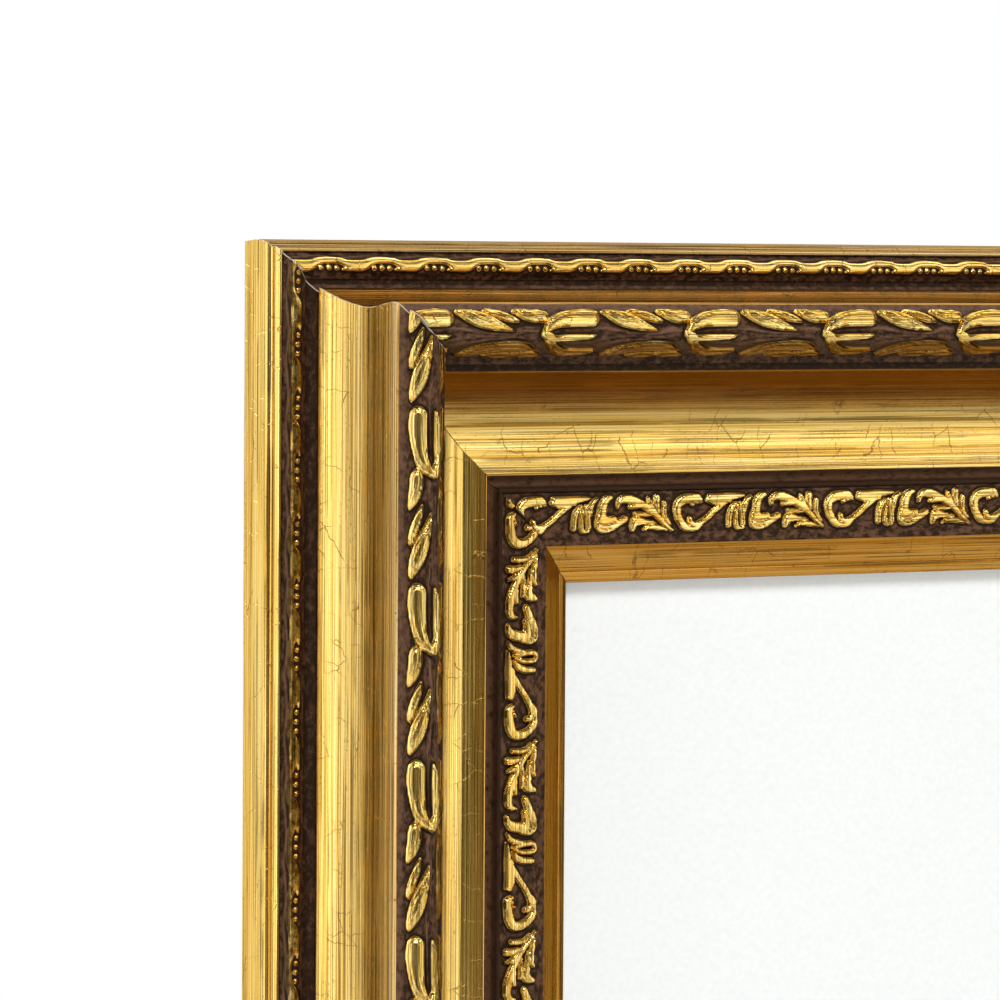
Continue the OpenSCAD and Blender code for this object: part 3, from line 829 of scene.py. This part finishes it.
def carve_strip(name, node, side, section, relief, spacing, finish):
    """A closed strip of ornament, mitred at both ends. section is (surface points, seat
    points) as (across, front); relief gives height, gilt and brown ridge at (along, arc)."""
    surface, seat = section
    spots, arc, out = profile(surface, spacing[1])
    length = side_length(side)
    columns = math.ceil((length - 2 * spots[:, 0].min()) / spacing[0])
    share = np.linspace(0, 1, columns + 1)[None, :]
    across = np.repeat(spots[:, :1], columns + 1, 1)
    start = across
    for _ in range(START_ROUNDS):
        along = start + share * (length - 2 * start)
        rise, gilt, ridge = relief(along, arc[:, None])
        end = np.minimum(along - start, length - start - along)
        rise = rise - MITRE_SINK * (1 - soft_step(end, 0, MITRE_ROUND))
        start = across + rise * out[:, :1]
    front = spots[:, 1:] + rise * out[:, 1:]
    rows = [(along, start, front, gilt, np.broadcast_to(ridge, gilt.shape))]
    for seat_across, seat_front in seat:
        inset = np.full((1, columns + 1), float(seat_across))
        rows.append((inset + share * (length - 2 * inset), inset,
                     np.full_like(inset, seat_front), np.full_like(inset, -1.0), 0 * inset))
    rows.append(tuple(table[:1] for table in rows[0]))
    along, across, front, gilt, ridge = (np.concatenate(tables) for tables in zip(*rows))
    bpy.ops.mesh.primitive_grid_add(x_subdivisions=columns, y_subdivisions=len(along) - 1)
    piece = bpy.context.object
    piece.name = piece.data.name = name
    mesh = piece.data
    mesh.vertices.foreach_set("co", to_world(side, along, across, front).ravel())
    mark_side(mesh, side, np.stack([along, across, front], -1).reshape(-1, 3))
    mark(mesh, "gilt", gilt.ravel())
    mark(mesh, "ridge", ridge.ravel())
    bpy.ops.object.mode_set(mode="EDIT")
    bpy.ops.mesh.select_all(action="SELECT")
    bpy.ops.mesh.remove_doubles(threshold=STRIP_WELD)
    bpy.ops.mesh.select_all(action="DESELECT")
    bpy.ops.mesh.select_non_manifold(extend=False)
    bpy.ops.mesh.fill_holes(sides=0)
    bpy.ops.mesh.select_all(action="SELECT")
    bpy.ops.mesh.normals_make_consistent(inside=False)
    bpy.ops.object.mode_set(mode="OBJECT")
    bpy.ops.object.shade_smooth_by_angle(angle=STRIP_SMOOTH)
    mesh.materials.clear()
    mesh.materials.append(finish)
    piece.select_set(False)
    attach(piece, "frame")
    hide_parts(node)


# Where the first repeat starts on each side, in mm walked from its corner

SCROLL_START = {"top": 84.25, "right": 84.25, "bottom": 84.25, "left": 458.65}
CREST_START = {"top": 39.4, "right": 39.4, "bottom": 39.4, "left": 472.4}
RIBBON_START = {"top": 11.3, "right": 11.3, "bottom": 11.3, "left": 506.9}

# Each strip's surface and seat as (across, front), and how its relief rises, all in mm

SCROLL_SURFACE = [(46.06, 15.2), (46.3, 15.3), (48.0, 15.3), (51.0, 15.3), (54.5, 15.3),
                  (55.5, 15.3), (55.84, 15.25)]
SCROLL_SEAT = [(55.84, 13.9), (46.06, 13.9)]
SCROLL_FIRST = 45.5  # across the rail, where the scroll table's own count starts
SCROLL_ACROSS = (0, 10.6)
SCROLL_HEIGHT = 1.1
SCROLL_FULLNESS = 0.10
SCROLL_DOME = (0.34, 0.07)  # how wide the flank is, and how far the top is rounded
SCROLL_CUT = 0.35

CREST_SURFACE = [(11.3, 34.8), (11.6, 36.2), (13.0, 37.95), (16.0, 39.0), (18.4, 38.3),
                 (20.0, 36.6), (21.1, 34.2), (22.1, 31.2)]
CREST_SEAT = [(20.2, 30.8), (18.9, 34.4), (16.6, 36.4), (14.2, 36.0), (13.0, 34.4)]
CREST_ARC = 17.5  # mm round the surface, from edge to edge
CREST_MID = 8.6
CREST_PINCH = 0.86  # the sunk flanks look closer to the middle, so the leaves spread from it
CREST_DEPTH = 1.35
LEAF_DOME = (0.5, 0.25)
UNDER_DOME = (0.55, 0.3)
STALK_DOME = (0.4, 0.5)
UNDER_RISE = 0.88  # the inner leaves and the stalks lie lower than the outer leaves
STALK_RISE = 0.45
RIPPLE_CUT = 0.09
VEIN_CUT = 0.16
LEAF_RISE = 1.03

RIBBON_SURFACE = [(2.40, 9.75), (2.65, 10.0), (3.15, 10.3), (3.6, 10.62), (4.1, 10.85),
                  (4.8, 11.0), (5.3, 11.02), (5.8, 10.85), (6.3, 10.45), (6.7, 10.15),
                  (7.05, 9.95)]
RIBBON_SEAT = [(7.05, 9.6), (2.40, 9.5)]
RIBBON_ACROSS = (0, 6.2)
RIBBON_HEIGHT = 0.6
RIBBON_LOW = 4.3  # the tables are drawn together towards this line
RIBBON_PINCH = 0.87
ROPE_DOME = (0.3, 0.25)
BEAD_RADIUS = 0.42
BEAD_RISE = 0.85
RIM_RISE = 0.4  # the wavy rim outside the rope
RIBBON_ARC_SHARE = 1.07  # the tables are measured over the tops, which are a little longer


def scroll_relief():
    """Returns the scroll strip's relief: its rise, its gilt and its brown ridges."""
    motif = Motif(SCROLL_REPEAT, SCROLL_ACROSS)
    raised, cut = motif.draw(SCROLL_SHAPES), motif.draw(SCROLL_CUTS)

    def relief(start, along, arc):
        spot = along - start
        low = arc + SCROLL_SURFACE[0][0] - SCROLL_FIRST
        inside = motif.look_up(raised, spot, low) + SCROLL_FULLNESS
        carved = motif.look_up(cut, spot, low)
        rise = SCROLL_HEIGHT * dome(inside, *SCROLL_DOME)
        rise = rise - SCROLL_CUT * soft_step(carved, -0.15, 0.1)
        return rise, np.minimum(inside, 0.15 - carved), 0 * rise
    return relief


def crest_relief():
    """The same for the crest strip, whose ground is cut in below the section's line."""
    motif = Motif(CREST_REPEAT, (0, CREST_ARC + 0.2))
    outer = motif.draw(CREST_BUD + CREST_LEAVES)
    inner = motif.draw(CREST_INNER)
    veins, stalks = motif.draw(CREST_VEINS), motif.draw(CREST_STALKS)

    def relief(start, along, arc):
        spot, low = along - start, np.broadcast_to(arc, np.shape(along))
        low = CREST_MID + (low - CREST_MID) * CREST_PINCH
        leaf = motif.look_up(outer, spot, low)
        under = motif.look_up(inner, spot, low)
        vein = motif.look_up(veins, spot, low)
        stalk = motif.look_up(stalks, spot, low)
        rise = np.maximum(dome(leaf, *LEAF_DOME) - RIPPLE_CUT * ripple(leaf),
                          UNDER_RISE * dome(under, *UNDER_DOME) - RIPPLE_CUT * ripple(under))
        rise = np.maximum(rise, STALK_RISE * dome(stalk, *STALK_DOME))
        rise = rise - VEIN_CUT * soft_step(vein, -0.2, 0.12)
        edge = soft_step(arc, 0.0, 0.8) * soft_step(CREST_ARC - arc, 0.05, 0.75)
        gilt = np.minimum(np.maximum(leaf, under), 0.2 - vein)
        return CREST_DEPTH * (rise * LEAF_RISE - 1) * edge, gilt, soft_step(stalk, 0.05, 0.5)
    return relief


def ribbon_relief():
    """The same for the ribbon strip; the beads and the wavy rim count as ridges."""
    motif = Motif(RIBBON_REPEAT, RIBBON_ACROSS)
    rope, beads = motif.draw(RIBBON_SHAPES), motif.draw(RIBBON_BEADS)

    def relief(start, along, arc):
        spot = along - start
        low = RIBBON_LOW + (arc * RIBBON_ARC_SHARE - RIBBON_LOW) * RIBBON_PINCH
        low = np.broadcast_to(low, np.shape(along))
        band = motif.look_up(rope, spot, low)
        bead = motif.look_up(beads, spot, low)
        rise = np.maximum(dome(band, *ROPE_DOME),
                          BEAD_RISE * np.sqrt(np.clip(bead / BEAD_RADIUS, 0, 1)))
        wave = arc - 0.95 - 0.2 * np.sin(2 * np.pi * spot / RIBBON_REPEAT)
        rim = soft_step(0.34 - np.abs(wave), 0, 0.3)
        brown = np.maximum(rim * 0.8, soft_step(bead, -0.05, 0.05))
        rise = RIBBON_HEIGHT * np.maximum(rise, RIM_RISE * rim)
        return rise, np.maximum(band, bead + 0.05), brown
    return relief


def carve_all():
    """Makes the three kinds of strip on all four sides."""
    kinds = [  # piece, node, section, relief, first repeats, spacing along and round, slot
        ("laurel_crest_", "crest_band_", (CREST_SURFACE, CREST_SEAT), crest_relief(),
         CREST_START, (0.36, 0.30), "gilt_laurel_strip"),
        ("scroll_strip_", "scroll_band_", (SCROLL_SURFACE, SCROLL_SEAT), scroll_relief(),
         SCROLL_START, (0.23, 0.22), "gilt_scroll_strip"),
        ("ribbon_strip_", "outer_band_", (RIBBON_SURFACE, RIBBON_SEAT), ribbon_relief(),
         RIBBON_START, (0.28, 0.20), "gilt_ribbon_strip"),
    ]
    for name, node, section, relief, starts, spacing, slot in kinds:
        finish = gilding(slot, carved=True, fine="laurel" in slot)
        for side in SIDES:
            carve_strip(name + side, node + side, side, section,
                        lambda along, arc, start=starts[side]: relief(start, along, arc),
                        spacing, finish)


# Hardware, glass and boards keep the construction model's shapes

RAIL_PARTS = ("rail_", "outer_band_", "crest_band_", "scroll_band_")


def finish_nodes():
    """Gives every node that isn't replaced its own material."""
    metal = zinc_steel("zinc_steel", (0.60, 0.61, 0.62))
    dark = zinc_steel("nail_steel", (0.36, 0.36, 0.37), 0.45)
    finishes = {
        "v_nails": dark, "glass_pane": clear_glass("clear_glass"),
        "insert_sheet": white_card("white_card"), "filler_board": grey_board("grey_board"),
        "backing_board": hardboard("hardboard"), "wall_bumpers": felt("grey_felt"),
    }
    for name, node in nodes.items():
        if not name.startswith(RAIL_PARTS):
            node.data.materials.clear()
            node.data.materials.append(finishes.get(name, metal))


# Floor and light

ROOM_LEVEL = 0.12
BACKDROP_EDGE = (0.0, 0.2)  # Y of a reflected ray's direction where the white begins, is full
LAMP_AIM = (-0.1, 0, 0.18)
LAMPS = [  # name, place in m, size in m, watts
    ("right_box", (1.16, -1.51, 0.36), (1.25, 1.9), 11.5),
    ("left_box", (-2.0, 0.0, 0.20), (0.85, 2.4), 8.8),
    ("front_box", (-0.65, -1.52, 1.36), (0.6, 0.6), 25),
    ("back_box", (-1.2, 1.6, 1.3), (1.2, 1.2), 38),
    ("top_box", (0.95, -0.12, 1.75), (1.0, 1.0), 8.5),
    ("side_box", (-1.85, -0.75, 0.20), (0.5, 2.2), 8),
]


def light_world():
    """A white backdrop for the camera, the glass and the metal, behind the frame; the side
    that the frame faces is a dim plain room."""
    world = bpy.data.worlds.new("studio")
    bpy.context.scene.world = world
    f = Finish("studio", world)
    camera, glass, metal = (f.add("ShaderNodeLightPath", output=f"Is {ray} Ray")
                            for ray in ("Camera", "Transmission", "Glossy"))
    way = f.part(f.add("ShaderNodeTexCoord", output="Generated"), "Y")
    white = camera | glass | metal * f.ease(way, *BACKDROP_EDGE)
    level = white * (1 - ROOM_LEVEL) + ROOM_LEVEL
    backdrop = f.add("ShaderNodeBackground", {}, {"Color": (1, 1, 1, 1), "Strength": level})
    f.add("ShaderNodeOutputWorld", {}, [backdrop])


def add_lamp(name, place, size, power):
    """A soft lamp that the camera doesn't see."""
    data = bpy.data.lights.new(name, "AREA")
    data.shape = "RECTANGLE"
    data.size, data.size_y = size
    data.energy = power
    lamp = bpy.data.objects.new(name, data)
    lamp.visible_camera = False
    lamp.location = place
    lamp.rotation_euler = (Vector(LAMP_AIM) - Vector(place)).to_track_quat("-Z", "Y").to_euler()
    bpy.context.collection.objects.link(lamp)


def lay_floor():
    """A pale floor that keeps the frame's shadow."""
    bpy.ops.mesh.primitive_plane_add(size=3.2, location=(0, 0, cad_low.z))
    floor = bpy.context.object
    floor.name = "floor"
    f = Finish("pale_floor")
    cloud = f.noise(f.position(), (3, 3, 3), 2.0)
    colour = f.blend(cloud, (0.86, 0.86, 0.86), (0.89, 0.89, 0.89))
    floor.data.materials.append(f.close(Base_Color=colour, Roughness=0.8))
    floor.select_set(False)


def main():
    """Builds the whole scene, camera first."""
    place_camera()
    light_world()
    lay_floor()
    for lamp in LAMPS:
        add_lamp(*lamp)
    bpy.context.scene.view_settings.view_transform = "Standard"
    gold, wood = gilding("gilt_wood", carved=False), bare_wood("bare_wood")
    for side in SIDES:
        gild_rail(side, gold, wood)
    carve_all()
    finish_nodes()


main()
